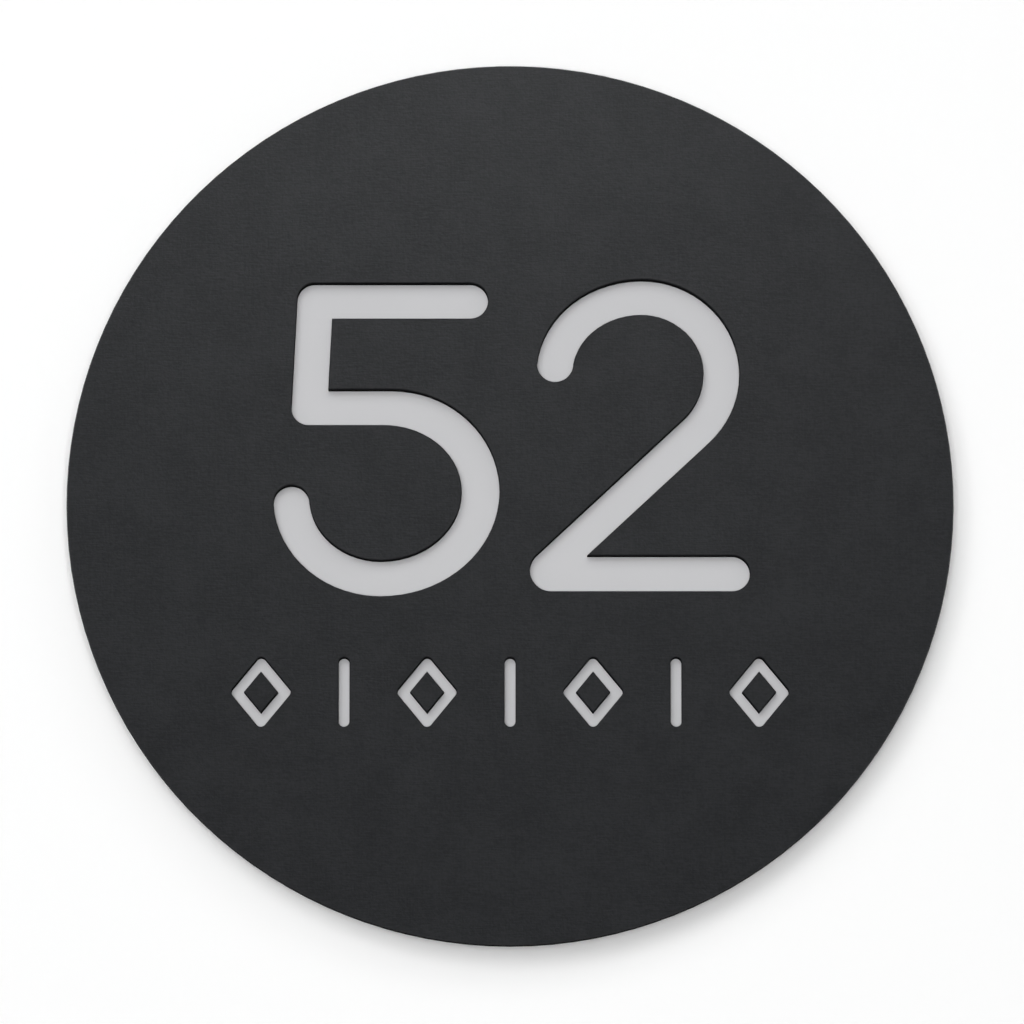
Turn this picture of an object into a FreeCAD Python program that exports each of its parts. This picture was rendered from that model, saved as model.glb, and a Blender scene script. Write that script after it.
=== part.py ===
import FreeCAD, Part
import math
import os

# Round house number plaque, in millimetres. It stands upright in the XZ plane with +Z up and
# faces -Y. The origin is the middle of the disc, on the wall that the sleeves stand against.

# Stack of sheets, from the wall out
stand_off = 10.0
backing_thickness = 3.0
face_thickness = 5.0

# Discs
face_diameter = 300.0
backing_inset = 9.0
edge_bevel = 0.3

# Numerals, with their base counted from the middle of the disc
digit_base = -30.07
digit_height = 105.3

# Numerals as drawn, on a grid that counts up from their base and across from the middle of the disc
drawn_height = 1000
stroke = 115.5

# Digit five: a bar, a leaning stem, and a bowl that ends in a hook
five_bar_right = -71
five_stem_middle = -637
five_stem_lean = 2.9
five_corner = 56
five_waist = 596
five_bowl_drop = 16
five_bowl_start_outside = -381
five_bowl_start_inside = -406
five_bowl_right = -34
five_bowl_side_stroke = 121.5
five_bowl_widest = 324
five_bowl_lowest = -415
five_bowl_left = -761
five_hook_turn = 304
five_hook_end = 285

# Digit two: a crook, a slope down to the foot, and a bar
two_crown_rise = 12
two_crown = 423
two_widest = 706
two_left = 85
two_right = 738
two_turn_bottom = 396
two_slope_stroke = 109
two_hook_end = 737
two_slope = 42.95
two_bar_right = 770
two_foot_corner = 68

# Band of small cut-outs under the numerals: lozenge outlines with upright bars between them
band_count = 7
band_pitch = 28.0
band_middle = -64.3
band_height = 23.5
band_stroke = 3.7
lozenge_width = 20.0

# Studs and sleeves on the back
stud_count = 4
stud_circle = 240.0
stud_first_angle = 45.0
stud_diameter = 5.0
stud_reach = 34.0
stud_tip_chamfer = 0.8
weld_flange_diameter = 6.5
weld_flange_thickness = 0.8
sleeve_diameter = 12.0
sleeve_bore_clearance = 0.5

# Places that follow from the sizes
backing_rear_y = -stand_off
backing_front_y = backing_rear_y - backing_thickness
face_front_y = backing_front_y - face_thickness
grid_unit = digit_height / drawn_height
cut_overrun = 1.0
same_place = 1e-6

RIGHT = FreeCAD.Vector(1, 0, 0)
UP = FreeCAD.Vector(0, 0, 1)
TO_FRONT = FreeCAD.Vector(0, -1, 0)
TO_WALL = FreeCAD.Vector(0, 1, 0)


def point(x, z):
    """Point of an outline, which is drawn in the plane of the wall."""
    return FreeCAD.Vector(x, 0, z)


def sloping(degrees):
    """Unit vector in that plane, counted from +X towards +Z."""
    angle = math.radians(degrees)
    return point(math.cos(angle), math.sin(angle))


class Oval:
    """Ellipse with upright axes. Its angles count from +X towards +Z."""

    def __init__(self, center, half_width, half_height):
        self.center = center
        self.half_width = half_width
        self.half_height = half_height

    def at(self, degrees):
        angle = math.radians(degrees)
        across = self.half_width * math.cos(angle)
        up = self.half_height * math.sin(angle)
        return self.center + point(across, up)

    def stretch(self, first, last):
        """Edge from one angle to a larger one. The curve counts from its longer axis."""
        axis = 90 if self.half_height > self.half_width else 0
        curve = Part.Ellipse(self.at(axis), self.at(axis + 90), self.center)
        return Part.ArcOfEllipse(curve, math.radians(first - axis), math.radians(last - axis)).toShape()

    def left_angle(self, z):
        """Angle of the point on the left half at this height."""
        return 180 - math.degrees(math.asin((z - self.center.z) / self.half_height))

    def tangent_angle(self, slope):
        """Angle of the point, low on the right, where the curve runs at this slope."""
        steepness = math.tan(math.radians(slope))
        return -math.degrees(math.atan(self.half_height / (self.half_width * steepness)))


def straight(start, end):
    return Part.LineSegment(start, end).toShape()


def round_end(start, end, outward):
    """Half circle from one side of a stroke to the other."""
    middle = (start + end) * 0.5
    tip = middle + outward * ((end - start).Length / 2)
    return Part.Arc(start, tip, end).toShape()


def rounded_corner(before, tip, after, radius):
    """Arc that rounds a corner, as its first point, its edge and its last point."""
    back = (before - tip).normalize()
    onward = (after - tip).normalize()
    half_angle = back.getAngle(onward) / 2
    start = tip + back * (radius / math.tan(half_angle))
    end = tip + onward * (radius / math.tan(half_angle))
    inward = (back + onward).normalize()
    middle = tip + inward * (radius / math.sin(half_angle) - radius)
    return start, Part.Arc(start, middle, end).toShape(), end


def square_to(direction):
    """The direction turned by a right angle, clockwise as seen with +X to the right."""
    return point(direction.z, -direction.x)


def digit_five(grow):
    """Closed outline of the five, clockwise from the top left corner, with its sides moved out."""
    half_stroke = stroke / 2 + grow
    bar_middle = drawn_height - stroke / 2
    bar_end_x = five_bar_right - stroke / 2
    bar_end_over = point(bar_end_x, bar_middle + half_stroke)
    bar_end_under = point(bar_end_x, bar_middle - half_stroke)
    waist_over = five_waist + half_stroke
    waist_under = five_waist - half_stroke

    def stem_side(side, z):
        lean = math.radians(five_stem_lean)
        middle = five_stem_middle + (z - (bar_middle + five_waist) / 2) * math.tan(lean)
        return point(middle + side * half_stroke / math.cos(lean), z)

    def bowl(start_x, waist_z, side_inset, inset):
        """Upper right, lower right and lower left stretches of the bowl, and the hook's end."""
        right = five_bowl_right - side_inset
        bottom = inset - five_bowl_drop
        left = five_bowl_left + inset
        middle_x, middle_z = five_bowl_lowest, five_bowl_widest
        upper = Oval(point(start_x, middle_z), right - start_x, waist_z - middle_z)
        lower = Oval(point(middle_x, middle_z), right - middle_x, middle_z - bottom)
        hook = Oval(point(middle_x, five_hook_turn), middle_x - left, five_hook_turn - bottom)
        end = hook.left_angle(five_hook_end)
        return [upper.stretch(0, 90), lower.stretch(-90, 0), hook.stretch(end, 270)], hook.at(end)

    corner_tip = stem_side(-1, bar_end_over.z)
    foot_tip = stem_side(-1, waist_under)
    bar_nook = stem_side(1, bar_end_under.z)
    waist_nook = stem_side(1, waist_over)
    outside_start = point(five_bowl_start_outside, waist_over)
    inside_start = point(five_bowl_start_inside, waist_under)
    radius = five_corner + grow
    corner_start, corner, corner_end = rounded_corner(foot_tip, corner_tip, bar_end_over, radius)
    foot_start, foot, foot_end = rounded_corner(inside_start, foot_tip, corner_tip, radius)
    outside, outside_end = bowl(outside_start.x, waist_over, -grow, -grow)
    inside, inside_end = bowl(inside_start.x, waist_under, five_bowl_side_stroke + grow, stroke + grow)
    return Part.Wire([
        corner,
        straight(corner_end, bar_end_over),
        round_end(bar_end_over, bar_end_under, RIGHT),
        straight(bar_end_under, bar_nook),
        straight(bar_nook, waist_nook),
        straight(waist_nook, outside_start),
        *outside,
        round_end(outside_end, inside_end, UP),
        *reversed(inside),
        straight(inside_start, foot_start),
        foot,
        straight(foot_end, corner_start),
    ])


def digit_two(grow):
    """Closed outline of the two, clockwise from the hook's end, with its sides moved out."""
    bar_over = stroke + grow
    bar_end_over = point(two_bar_right - stroke / 2, bar_over)
    bar_end_under = point(two_bar_right - stroke / 2, -grow)
    along = sloping(two_slope)

    def crook(inset, slope_inset):
        """Upper left, upper right and lower right stretches of the crook, and its free ends."""
        middle = point(two_crown, two_widest)
        half_height = drawn_height + two_crown_rise - two_widest - inset
        half_width = two_right - two_crown - inset
        left = Oval(middle, two_crown - two_left - inset, half_height)
        right = Oval(middle, half_width, half_height)
        turn = Oval(middle, half_width, two_widest - two_turn_bottom - slope_inset)
        hook_end = left.left_angle(two_hook_end)
        slope_start = turn.tangent_angle(two_slope)
        edges = [left.stretch(90, hook_end), right.stretch(0, 90), turn.stretch(slope_start, 0)]
        return edges, left.at(hook_end), turn.at(slope_start)

    outside, outside_hook, outside_slope = crook(-grow, -grow)
    inside, inside_hook, inside_slope = crook(stroke + grow, two_slope_stroke + grow)
    hook_down = square_to((inside_hook - outside_hook).normalize())
    nook = outside_slope - along * ((outside_slope.z - bar_over) / along.z)

    foot_tip = inside_slope - along * ((inside_slope.z - bar_end_under.z) / along.z)
    foot_radius = two_foot_corner + grow
    foot_start, foot, foot_end = rounded_corner(bar_end_under, foot_tip, inside_slope, foot_radius)
    return Part.Wire([
        *outside,
        straight(outside_slope, nook),
        straight(nook, bar_end_over),
        round_end(bar_end_over, bar_end_under, RIGHT),
        straight(bar_end_under, foot_start),
        foot,
        straight(foot_end, inside_slope),
        *reversed(inside),
        round_end(inside_hook, outside_hook, hook_down),
    ])


def numeral(draw, grow):
    """Outline of a numeral at its size and place, from its drawing on the grid."""
    outline = draw(grow / grid_unit)
    outline.scale(grid_unit)
    return outline.translated(UP * digit_base)


def band_bar(middle_x, grow):
    """Upright bar with round ends, with its sides moved out."""
    half = band_stroke / 2 + grow
    reach = (band_height - band_stroke) / 2
    top = point(middle_x, band_middle + reach)
    bottom = point(middle_x, band_middle - reach)
    side = RIGHT * half
    return Part.Wire([
        round_end(top - side, top + side, UP),
        straight(top + side, bottom + side),
        round_end(bottom + side, bottom - side, -UP),
        straight(bottom - side, top - side),
    ])


def lozenge_tips(middle_x, side_shift):
    """Corners of the lozenge that runs along the middle of the stroke, with its sides moved out."""
    half_width = (lozenge_width - band_stroke) / 2
    half_height = (band_height - band_stroke) / 2
    middle_to_side = half_width * half_height / math.hypot(half_width, half_height)
    scale = 1 + side_shift / middle_to_side
    middle = point(middle_x, band_middle)
    directions = (UP * half_height, RIGHT * half_width, -UP * half_height, -RIGHT * half_width)
    return [middle + d * scale for d in directions]


def lozenge_outside(middle_x, grow):
    """Outer outline of the lozenge's stroke. Its corners are round."""
    shift = band_stroke / 2 + grow
    tips = lozenge_tips(middle_x, shift)
    corners = [rounded_corner(tips[i - 1], tips[i], tips[(i + 1) % 4], shift) for i in range(4)]
    edges = []
    for i, (start, arc, end) in enumerate(corners):
        edges += [arc, straight(end, corners[(i + 1) % 4][0])]
    return Part.Wire(edges)


def lozenge_inside(middle_x, grow):
    """Inner outline of the lozenge's stroke, round the loose middle. Its corners are sharp."""
    tips = lozenge_tips(middle_x, -band_stroke / 2 - grow)
    return Part.Wire([straight(tips[i], tips[(i + 1) % 4]) for i in range(4)])


def at_depth(wire, y):
    return wire.translated(FreeCAD.Vector(0, y, 0))


def cut_through(draw):
    """What a cut takes out of the sheet: straight walls, and a bevel that opens to the front.
    The bevel is drawn to twice its size, so that it comes out in front of the sheet."""
    rear = backing_front_y + cut_overrun
    bevel_rear = face_front_y + edge_bevel
    outline = draw(0)
    walls = Part.Face(at_depth(outline, rear)).extrude(TO_FRONT * (rear - bevel_rear))
    flare = Part.makeLoft([at_depth(outline, bevel_rear),
                           at_depth(draw(2 * edge_bevel), face_front_y - edge_bevel)], True, True)
    return walls.fuse(flare)


def all_cuts():
    """Both digits, and the band: lozenges at its ends and in every other place, with bars between."""
    cuts = [cut_through(lambda grow: numeral(draw, grow)) for draw in (digit_five, digit_two)]
    for place in range(band_count):
        x = (place - (band_count - 1) / 2) * band_pitch
        if place % 2:
            cuts.append(cut_through(lambda grow: band_bar(x, grow)))
        else:
            outside = cut_through(lambda grow: lozenge_outside(x, grow))
            cuts.append(outside.cut(cut_through(lambda grow: lozenge_inside(x, grow))))
    return cuts


def disc(diameter, rear_y, thickness):
    return Part.makeCylinder(diameter / 2, thickness, FreeCAD.Vector(0, rear_y, 0), TO_FRONT)


def edges_at_depth(solid, y):
    return [e for e in solid.Edges if all(abs(v.Point.y - y) < same_place for v in e.Vertexes)]


def face_sheet():
    """The face panel, and the loose lozenges that its cuts leave, from left to right."""
    sheet = disc(face_diameter, backing_front_y, face_thickness)
    sheet = sheet.makeChamfer(edge_bevel, edges_at_depth(sheet, face_front_y))
    solids = sheet.cut(all_cuts()).Solids
    panel = max(solids, key=lambda s: s.Volume)
    islands = [s for s in solids if s is not panel]
    return panel, sorted(islands, key=lambda s: s.CenterOfMass.x)


def wall_stud(x, z):
    """Stud with a weld flange on the backing and a chamfered tip in the wall."""
    length = stand_off + stud_reach
    foot = FreeCAD.Vector(x, backing_rear_y, z)
    flange = Part.makeCylinder(weld_flange_diameter / 2, weld_flange_thickness, foot, TO_WALL)
    shank = Part.makeCylinder(stud_diameter / 2, length, foot, TO_WALL)
    tip = edges_at_depth(shank, backing_rear_y + length)
    return shank.makeChamfer(stud_tip_chamfer, tip).fuse(flange).removeSplitter()


def spacer_sleeve(x, z):
    """Plain sleeve from the backing to the wall. Its bore clears the stud's weld flange."""
    foot = FreeCAD.Vector(x, backing_rear_y, z)
    bore = weld_flange_diameter / 2 + sleeve_bore_clearance
    body = Part.makeCylinder(sleeve_diameter / 2, stand_off, foot, TO_WALL)
    return body.cut(Part.makeCylinder(bore, stand_off, foot, TO_WALL))


def numbered(name, solids):
    return {f"{name}_{i}": s for i, s in enumerate(solids, 1)}


def main():
    panel, islands = face_sheet()
    places = []
    for i in range(stud_count):
        place = sloping(stud_first_angle + i * 360 / stud_count) * (stud_circle / 2)
        places.append((place.x, place.z))
    nodes = {
        "face_panel": panel,
        "backing_panel": disc(face_diameter - 2 * backing_inset, backing_rear_y, backing_thickness),
        **numbered("lozenge_island", islands),
        **numbered("wall_stud", [wall_stud(*p) for p in places]),
        **numbered("spacer_sleeve", [spacer_sleeve(*p) for p in places]),
    }
    os.makedirs("parts", exist_ok=True)
    for name, solid in nodes.items():
        solid.exportStep(f"parts/{name}.step")


main()
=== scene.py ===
import math
from collections import namedtuple

import bmesh
import bpy
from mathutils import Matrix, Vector


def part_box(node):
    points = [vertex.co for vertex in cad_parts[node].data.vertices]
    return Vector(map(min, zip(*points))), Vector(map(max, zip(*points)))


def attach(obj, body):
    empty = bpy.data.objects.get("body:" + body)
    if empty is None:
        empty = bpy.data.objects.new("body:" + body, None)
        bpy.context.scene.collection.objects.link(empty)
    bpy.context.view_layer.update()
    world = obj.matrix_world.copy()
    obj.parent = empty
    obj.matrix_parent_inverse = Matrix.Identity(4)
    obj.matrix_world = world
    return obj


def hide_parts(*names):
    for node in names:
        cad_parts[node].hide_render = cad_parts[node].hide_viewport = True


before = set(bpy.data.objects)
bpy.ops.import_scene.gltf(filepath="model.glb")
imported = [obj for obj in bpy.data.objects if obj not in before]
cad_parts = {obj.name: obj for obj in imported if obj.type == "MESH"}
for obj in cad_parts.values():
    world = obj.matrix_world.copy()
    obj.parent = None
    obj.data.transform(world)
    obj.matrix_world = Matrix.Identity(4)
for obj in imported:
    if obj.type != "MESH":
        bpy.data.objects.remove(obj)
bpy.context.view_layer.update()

FRONT_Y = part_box("face_panel")[0].y

# Camera: distance in metres, tilt in degrees, lens and sensor in millimetres.
# The wall is seen from in front, and the camera stands low and looks up at the disc.
CAMERA_DISTANCE = 2.9
CAMERA_TILT = 7.55
CAMERA_LENS = 301.53
CAMERA_SENSOR = 36.0
CAMERA_SHIFT = (0.00186, -0.00898)

# Pieces, in metres and degrees. A face whose normal's y is under the limit is a cut wall.
WALL_LIMIT = 0.3
SMOOTH_DEGREES = 40
MERGE = 1e-6
ROUND = 72
BREAK = 0.0004
SLEEVE_BORE = 0.00375
FLANGE = 0.0008
PITCH = 0.0008
THREAD_OUTSIDE = 0.005
THREAD_CORE = 0.0041
THREAD_ROUND = 36
TIP_CHAMFER = 0.0008
STUD_OFFSET = abs(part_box("wall_stud_1")[0].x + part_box("wall_stud_1")[1].x) / 2

# One turn of the thread: part of the pitch, and whether the profile is at its crest there
THREAD_PROFILE = ((0, False), (0.125, False), (0.44, True), (0.56, True), (0.875, False))

# Finishes: two linear colours to vary between, range of roughness, bump strength and its
# depth in metres, specular level and metallic
Finish = namedtuple("Finish", "dark pale rough bump depth specular metallic")
FACE_FINISH = Finish((0.0070, 0.0076, 0.0090), (0.0146, 0.0156, 0.0176),
                     (0.45, 0.51), 0.4, 0.00006, 0.35, 0.0)
EDGE_FINISH = Finish((0.0116, 0.0114, 0.0113), (0.0172, 0.0169, 0.0167),
                     (0.75, 0.9), 0.3, 0.00005, 0.0, 0.0)
LIGHT_FINISH = Finish((0.567, 0.567, 0.580), (0.577, 0.577, 0.590),
                      (0.55, 0.65), 0.15, 0.00005, 0.12, 0.0)
# The alloy's dark colour is reached in the roots of the thread, where it is painted shade.
ALLOY_FINISH = Finish((0.16, 0.16, 0.158), (0.58, 0.58, 0.57),
                      (0.36, 0.46), 0.05, 0.00003, 0.5, 1.0)
NYLON_FINISH = Finish((0.70, 0.68, 0.61), (0.76, 0.74, 0.68),
                      (0.4, 0.5), 0.1, 0.00005, 0.5, 0.0)

# Noise, in cells a metre, for x, y and z where there are three. Most of its values are in a
# range round a half.
DETAIL = 2.0
NOISE_ROUGHNESS = 0.55
NOISE_RANGE = (0.3, 0.7)
FACE_MOTTLE = 70.0
FACE_MOTTLE_DETAIL = 3.0
FACE_POWDER = 1300.0
FACE_GRAIN_ACROSS = (260, 400, 1800)
FACE_GRAIN_UPRIGHT = (1400, 400, 90)
MOTTLE_WEIGHT = 1.30
ACROSS_WEIGHT = 1.85
UPRIGHT_WEIGHT = 0.70
POWDER_WEIGHT = 2.12
FACE_RANGE = (2.485, 3.485)
EDGE_LINES = (1400, 60, 1400)
LIGHT_FINE = 1500.0
LIGHT_CLOUD = 25.0
CLOUD_RANGE = (0.35, 0.65)
ALLOY_GRAIN = (700, 200, 700)
# Weights in the alloy's colour: painted shade in the roots of the thread, then grain.
PAINTED_ROOT_SHADE_WEIGHT = 0.8
GRAIN_WEIGHT = 0.2
NYLON_FINE = 700.0

# Wall behind the plaque
WALL_DIFFUSE = 0.97
WALL_GLOW = 0.035
WALL_HALF = 6.0

# Lamps: azimuth to the right and elevation up, half width and half height, all in degrees as
# seen from the disc, the part of full light that the lamp gives on the disc's plane, and what
# it leaves out. The rear ones stand behind the wall, which lets them through.
LAMP_DISTANCE = 4.0
SOFTBOXES = (
    ("front_fill", 0, -7, 7, 5, 0.425, {"glossy": False}),
    ("key", -9, 10, 16, 12, 0.414, {"glossy": False}),
    ("upper", 4, 34, 37, 10, 0.144, {"glossy": False}),
    ("overhead", 0, 94, 14, 8, 0.018, {"diffuse": False}),
    ("low", 0, -40, 20, 12, 0.05, {"diffuse": False}),
    ("side_left", -68, 8, 20, 20, 0.05, {"diffuse": False}),
    ("side_right", 68, 8, 20, 20, 0.05, {"diffuse": False}),
    ("rear", 20, 20, 15, 15, 0.4, {"front": False}),
    ("rear_left", -68, 12, 12, 15, 0.2, {"front": False}),
    ("rear_right", 68, 12, 12, 15, 0.2, {"front": False}),
)
SHEEN_PLACE = (-0.03, -0.9, 0.55)
SHEEN_SIZE = (0.33, 0.23)
SHEEN_WATTS = 3.4
WORLD_LIGHT = 0.086
WORLD_WHITE = 1.0


# ---------------------------------------------------------------- materials

class Nodes:
    """Short hand for building one node material."""

    def __init__(self, name):
        self.material = bpy.data.materials.new(name)
        self.material.use_nodes = True
        self.tree = self.material.node_tree
        self.tree.nodes.clear()
        self.output = self.add("ShaderNodeOutputMaterial")

    def add(self, kind, **values):
        node = self.tree.nodes.new(kind)
        for key, value in values.items():
            setattr(node, key, value)
        return node

    def link(self, out, to):
        self.tree.links.new(out, to)

    def object_coords(self):
        return self.add("ShaderNodeTexCoord").outputs["Object"]

    def noise(self, coords, scale, detail=DETAIL):
        """Noise of one scale, or of a scale for each axis."""
        node = self.add("ShaderNodeTexNoise")
        if isinstance(scale, tuple):
            stretch = self.add("ShaderNodeMapping")
            stretch.inputs["Scale"].default_value = scale
            self.link(coords, stretch.inputs["Vector"])
            coords, scale = stretch.outputs["Vector"], 1.0
        node.inputs["Scale"].default_value = scale
        node.inputs["Detail"].default_value = detail
        node.inputs["Roughness"].default_value = NOISE_ROUGHNESS
        self.link(coords, node.inputs["Vector"])
        return node.outputs["Fac"]

    def math(self, operation, *values):
        node = self.add("ShaderNodeMath", operation=operation)
        for socket, value in zip(node.inputs, values):
            if hasattr(value, "is_linked"):
                self.link(value, socket)
            else:
                socket.default_value = value
        return node.outputs[0]

    def from_axis(self, coords, offset):
        """Distance from the nearest of the four lines along y whose x and z are plus or minus
        the offset."""
        split = self.add("ShaderNodeSeparateXYZ")
        self.link(coords, split.inputs["Vector"])
        squares = []
        for axis in ("X", "Z"):
            side = self.math("SUBTRACT", self.math("ABSOLUTE", split.outputs[axis]), offset)
            squares.append(self.math("MULTIPLY", side, side))
        return self.math("SQRT", self.math("ADD", *squares))

    def weighted(self, *pairs):
        """Sum of values, each times its weight."""
        total = 0.0
        for weight, value in pairs:
            total = self.math("MULTIPLY_ADD", value, weight, total)
        return total

    def span(self, value, low, high, to_low=0.0, to_high=1.0):
        node = self.add("ShaderNodeMapRange")
        for name, number in (("From Min", low), ("From Max", high),
                             ("To Min", to_low), ("To Max", to_high)):
            node.inputs[name].default_value = number
        self.link(value, node.inputs["Value"])
        return node.outputs["Result"]

    def coat(self, finish, shade, grain, height):
        """Shade picks the colour, grain the roughness and height the bump."""
        shader = self.add("ShaderNodeBsdfPrincipled")
        colour = self.add("ShaderNodeMix", data_type="RGBA")
        colour.inputs["A"].default_value = (*finish.dark, 1)
        colour.inputs["B"].default_value = (*finish.pale, 1)
        self.link(shade, colour.inputs["Factor"])
        self.link(colour.outputs["Result"], shader.inputs["Base Color"])
        self.link(self.span(grain, *NOISE_RANGE, *finish.rough), shader.inputs["Roughness"])
        bump = self.add("ShaderNodeBump")
        bump.inputs["Strength"].default_value = finish.bump
        bump.inputs["Distance"].default_value = finish.depth
        self.link(height, bump.inputs["Height"])
        self.link(bump.outputs["Normal"], shader.inputs["Normal"])
        shader.inputs["Specular IOR Level"].default_value = finish.specular
        shader.inputs["Metallic"].default_value = finish.metallic
        self.link(shader.outputs["BSDF"], self.output.inputs["Surface"])
        return self.material


def charcoal_coat():
    """Face coat: a soft mottle, a fine grain that runs across, and a powder texture."""
    n = Nodes("charcoal_coat")
    at = n.object_coords()
    powder = n.noise(at, FACE_POWDER)
    mixed = n.weighted((MOTTLE_WEIGHT, n.noise(at, FACE_MOTTLE, FACE_MOTTLE_DETAIL)),
                       (ACROSS_WEIGHT, n.noise(at, FACE_GRAIN_ACROSS)),
                       (UPRIGHT_WEIGHT, n.noise(at, FACE_GRAIN_UPRIGHT)),
                       (POWDER_WEIGHT, powder))
    return n.coat(FACE_FINISH, n.span(mixed, *FACE_RANGE), powder, mixed)


def charcoal_edge():
    """The same coat on the cut edges, thin and dull, with the cutter's lines through the sheet."""
    n = Nodes("charcoal_edge")
    lines = n.noise(n.object_coords(), EDGE_LINES)
    return n.coat(EDGE_FINISH, n.span(lines, *NOISE_RANGE), lines, lines)


def light_coat():
    """Coat of the backing, nearly even."""
    n = Nodes("light_coat")
    at = n.object_coords()
    fine = n.noise(at, LIGHT_FINE)
    return n.coat(LIGHT_FINISH, n.span(n.noise(at, LIGHT_CLOUD), *CLOUD_RANGE), fine, fine)


def bare_alloy():
    """Alloy of the studs, with painted shade that darkens the roots of the thread, and a little
    grain.
    """
    n = Nodes("bare_alloy")
    at = n.object_coords()
    grain = n.noise(at, ALLOY_GRAIN)
    # Painted shade: the colour darkens towards the root radius of the thread, where shade would
    # fall.
    root = n.math("SUBTRACT", n.from_axis(at, STUD_OFFSET), THREAD_CORE / 2)
    crest = n.math("DIVIDE", n.math("ABSOLUTE", root), (THREAD_OUTSIDE - THREAD_CORE) / 2)
    shade = n.weighted((PAINTED_ROOT_SHADE_WEIGHT, n.math("MINIMUM", crest, 1.0)), (GRAIN_WEIGHT, grain))
    return n.coat(ALLOY_FINISH, shade, grain, grain)


def natural_nylon():
    n = Nodes("natural_nylon")
    fine = n.noise(n.object_coords(), NYLON_FINE)
    return n.coat(NYLON_FINISH, fine, fine, fine)


CHARCOAL = charcoal_coat()
EDGE = charcoal_edge()
LIGHT = light_coat()
ALLOY = bare_alloy()
NYLON = natural_nylon()


# ---------------------------------------------------------------- pieces

def add_piece(name, mesh, node):
    """Visible piece that stands for a node."""
    piece = bpy.data.objects.new(name, mesh)
    bpy.context.scene.collection.objects.link(piece)
    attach(piece, "root")
    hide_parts(node)


def dress(node, material):
    """Node whose shape stays, with a better material in its slots."""
    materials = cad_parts[node].data.materials
    if not materials:
        materials.append(material)
    for i in range(len(materials)):
        materials[i] = material


def coated(node):
    """Sheet piece with the face coat in front and the edge coat on its cut walls."""
    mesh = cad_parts[node].data.copy()
    mesh.materials.clear()
    mesh.materials.append(CHARCOAL)
    mesh.materials.append(EDGE)
    for polygon in mesh.polygons:
        polygon.material_index = 1 if abs(polygon.normal.y) < WALL_LIMIT else 0
    add_piece(node + "_coated", mesh, node)


def rings(work, middle, profile):
    """Turned surface: a ring of vertices for each radius and y, joined to the one before."""
    for radius, y in profile:
        for c in range(ROUND):
            angle = 2 * math.pi * c / ROUND
            work.verts.new((middle.x + radius * math.cos(angle), y,
                            middle.z + radius * math.sin(angle)))
    work.verts.ensure_lookup_table()
    for r in range(len(profile) - 1):
        for c in range(ROUND):
            after = (c + 1) % ROUND
            work.faces.new([work.verts[corner] for corner in
                            (r * ROUND + c, r * ROUND + after,
                             (r + 1) * ROUND + after, (r + 1) * ROUND + c)])


def finished(work, name, material):
    """Mesh of the work, smooth except at its edges."""
    bmesh.ops.recalc_face_normals(work, faces=work.faces)
    limit = math.radians(SMOOTH_DEGREES)
    for face in work.faces:
        face.smooth = True
    for edge in work.edges:
        edge.smooth = len(edge.link_faces) == 2 and edge.calc_face_angle(0) < limit
    mesh = bpy.data.meshes.new(name)
    work.to_mesh(mesh)
    work.free()
    mesh.materials.append(material)
    return mesh


def sleeve(node):
    """Cut length of tube with broken edges."""
    low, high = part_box(node)
    outer = (high.x - low.x) / 2
    profile = [(SLEEVE_BORE, low.y + BREAK), (SLEEVE_BORE + BREAK, low.y),
               (outer - BREAK, low.y), (outer, low.y + BREAK),
               (outer, high.y - BREAK), (outer - BREAK, high.y),
               (SLEEVE_BORE + BREAK, high.y), (SLEEVE_BORE, high.y - BREAK)]
    work = bmesh.new()
    rings(work, (low + high) / 2, profile + profile[:1])
    bmesh.ops.remove_doubles(work, verts=work.verts, dist=MERGE)
    add_piece(node + "_tube", finished(work, node + "_tube", NYLON), node)


def thread(work, middle, start, end):
    """Helical thread that grows from its core in its second turn and is chamfered at the tip."""
    crest, root = THREAD_OUTSIDE / 2, THREAD_CORE / 2
    turns = math.ceil((end - start) / PITCH) + 1
    rows = [(turn - 1 + part, crest if high else root)
            for turn in range(turns + 1) for part, high in THREAD_PROFILE]
    first = len(work.verts)
    for turn, radius in rows:
        for c in range(THREAD_ROUND + 1):
            angle = 2 * math.pi * c / THREAD_ROUND
            y = min(max(start + PITCH * (turn + c / THREAD_ROUND), start), end)
            limit = crest - max(0, y - (end - TIP_CHAMFER))
            full = min(1, max(0, (y - start) / PITCH - 1))
            r = min(root + (radius - root) * full, limit)
            work.verts.new((middle.x + r * math.cos(angle), y, middle.z + r * math.sin(angle)))
    work.verts.ensure_lookup_table()
    wide = THREAD_ROUND + 1
    for r in range(len(rows) - 1):
        for c in range(THREAD_ROUND):
            corner = first + r * wide + c
            work.faces.new([work.verts[corner + k] for k in (0, 1, wide + 1, wide)])


def stud(node):
    """Weld stud: a flange, and a rolled thread that runs from it to the tip."""
    low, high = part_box(node)
    middle = (low + high) / 2
    flange = (high.x - low.x) / 2
    work = bmesh.new()
    rings(work, middle, [(0, low.y), (flange, low.y), (flange, low.y + (FLANGE - BREAK / 2)),
                         (flange - BREAK / 2, low.y + FLANGE), (0, low.y + FLANGE)])
    thread(work, middle, low.y + FLANGE / 2, high.y)
    bmesh.ops.remove_doubles(work, verts=work.verts, dist=MERGE)
    bmesh.ops.dissolve_degenerate(work, edges=work.edges, dist=MERGE)
    bmesh.ops.holes_fill(work, edges=work.edges, sides=0)
    add_piece(node + "_thread", finished(work, node + "_thread", ALLOY), node)


dress("backing_panel", LIGHT)
for name in list(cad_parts):
    if name.startswith(("face", "lozenge")):
        coated(name)
    elif name.startswith("wall_stud"):
        stud(name)
    elif name.startswith("spacer_sleeve"):
        sleeve(name)


# ---------------------------------------------------------------- wall behind the plaque

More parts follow.
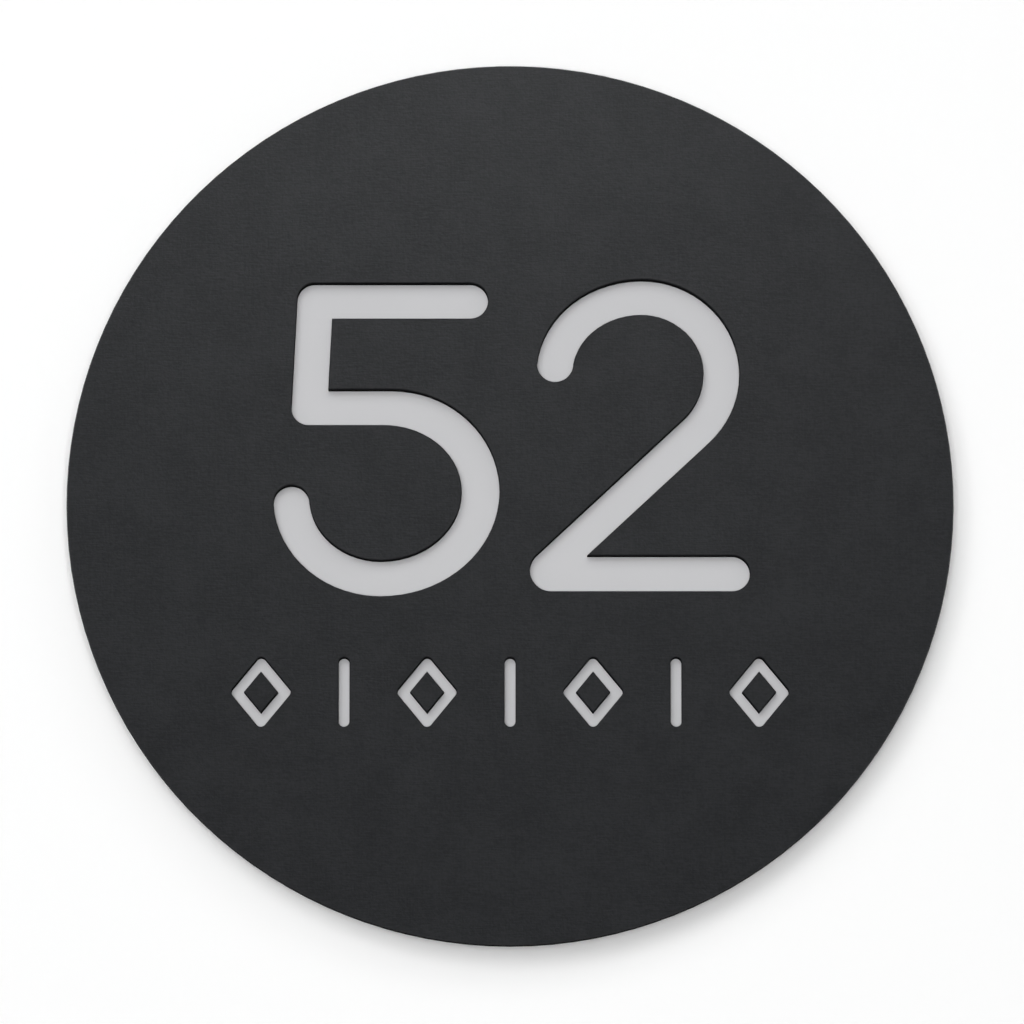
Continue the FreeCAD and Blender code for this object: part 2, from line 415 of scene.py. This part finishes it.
def wall_material():
    """Pale wall with a faint glow of its own where it is seen. It is clear from behind, so that
    the back views see through it, and to the first shadow rays, so that the rear lamps light the
    back of the plaque."""
    n = Nodes("pale_wall")
    path = n.add("ShaderNodeLightPath")

    def mix(factor, a, b):
        node = n.add("ShaderNodeMixShader")
        for socket, value in zip(node.inputs, (factor, a, b)):
            n.link(value, socket)
        return node.outputs[0]

    def glow(strength):
        node = n.add("ShaderNodeEmission")
        node.inputs["Strength"].default_value = strength
        return node.outputs[0]

    diffuse = n.add("ShaderNodeBsdfDiffuse")
    diffuse.inputs["Color"].default_value = (WALL_DIFFUSE, WALL_DIFFUSE, WALL_DIFFUSE, 1)
    shown = n.math("MAXIMUM", path.outputs["Is Glossy Ray"], path.outputs["Is Transmission Ray"])
    shown = n.math("MAXIMUM", path.outputs["Is Camera Ray"], shown)
    both = n.add("ShaderNodeAddShader")
    n.link(diffuse.outputs[0], both.inputs[0])
    n.link(mix(shown, glow(0), glow(WALL_GLOW)), both.inputs[1])
    direct = n.math("LESS_THAN", path.outputs["Diffuse Depth"], 0.5)
    first = n.math("MULTIPLY", path.outputs["Is Shadow Ray"], direct)
    back = n.add("ShaderNodeNewGeometry").outputs["Backfacing"]
    clear = n.add("ShaderNodeBsdfTransparent").outputs[0]
    wall_shader = mix(n.math("MAXIMUM", back, first), both.outputs[0], clear)
    n.link(wall_shader, n.output.inputs["Surface"])
    return n.material


sheet = bpy.data.meshes.new("wall")
sheet.from_pydata([(-WALL_HALF, 0, -WALL_HALF), (WALL_HALF, 0, -WALL_HALF),
                   (WALL_HALF, 0, WALL_HALF), (-WALL_HALF, 0, WALL_HALF)], [], [(0, 1, 2, 3)])
sheet.materials.append(wall_material())
wall = bpy.data.objects.new("wall", sheet)
bpy.context.scene.collection.objects.link(wall)


# ---------------------------------------------------------------- light and camera

def area_lamp(name, size, energy, place, diffuse=True, glossy=True):
    """Area lamp that looks at the middle of the disc and isn't seen itself."""
    data = bpy.data.lights.new(name, "AREA")
    data.shape = "RECTANGLE"
    data.size, data.size_y = size
    data.energy = energy
    lamp = bpy.data.objects.new(name, data)
    lamp.location = place
    lamp.rotation_euler = (-lamp.location).to_track_quat("-Z", "Y").to_euler()
    lamp.visible_camera = False
    lamp.visible_diffuse = diffuse
    lamp.visible_glossy = glossy
    bpy.context.scene.collection.objects.link(lamp)


def softbox(name, azimuth, elevation, half_width, half_height, share, front=True, **seen):
    """Far lamp of the table above."""
    az, el = math.radians(azimuth), math.radians(elevation)
    side = -1 if front else 1
    way = Vector((math.sin(az) * math.cos(el), side * math.cos(az) * math.cos(el), math.sin(el)))
    size = [2 * LAMP_DISTANCE * math.tan(math.radians(half)) for half in (half_width, half_height)]
    energy = share * math.pi ** 2 * LAMP_DISTANCE ** 2 / abs(way.y)
    area_lamp(name, size, energy, way * LAMP_DISTANCE, **seen)


for name, *place, options in SOFTBOXES:
    softbox(name, *place, **options)

# Near lamp that only glosses the coat, more towards the top of the disc
area_lamp("sheen", SHEEN_SIZE, SHEEN_WATTS, SHEEN_PLACE, diffuse=False)


def studio_world():
    """Dim light from all round. Seen itself, or in metal from behind the wall, it is white."""
    world = bpy.data.worlds.new("studio")
    world.use_nodes = True
    tree = world.node_tree
    tree.nodes.clear()

    def add(kind, *values):
        """Node whose inputs are set or linked to the values in order."""
        node = tree.nodes.new(kind)
        for socket, value in zip(node.inputs, values):
            if hasattr(value, "is_linked"):
                tree.links.new(value, socket)
            else:
                socket.default_value = value
        return node

    def maths(operation, *values):
        node = add("ShaderNodeMath", *values)
        node.operation = operation
        return node.outputs[0]

    def backdrop(strength):
        return add("ShaderNodeBackground", (1, 1, 1, 1), strength).outputs[0]

    path = add("ShaderNodeLightPath")
    way = add("ShaderNodeSeparateXYZ", add("ShaderNodeTexCoord").outputs["Generated"])
    shown = maths("MAXIMUM", path.outputs["Is Glossy Ray"], path.outputs["Is Transmission Ray"])
    shown = maths("MULTIPLY", shown, maths("GREATER_THAN", way.outputs["Y"], 0.0))
    shown = maths("MAXIMUM", path.outputs["Is Camera Ray"], shown)
    mix = add("ShaderNodeMixShader", shown, backdrop(WORLD_LIGHT), backdrop(WORLD_WHITE))
    add("ShaderNodeOutputWorld", mix.outputs[0])
    bpy.context.scene.world = world


studio_world()

tilt = math.radians(CAMERA_TILT)
look = Vector((0, math.cos(tilt), math.sin(tilt)))
camera_data = bpy.data.cameras.new("camera")
camera_data.lens = CAMERA_LENS
camera_data.sensor_width = CAMERA_SENSOR
camera_data.shift_x, camera_data.shift_y = CAMERA_SHIFT
camera = bpy.data.objects.new("camera", camera_data)
camera.location = Vector((0, FRONT_Y, 0)) - look * CAMERA_DISTANCE
camera.rotation_euler = look.to_track_quat("-Z", "Y").to_euler()
bpy.context.scene.collection.objects.link(camera)
bpy.context.scene.camera = camera
bpy.context.scene.view_settings.view_transform = "Standard"
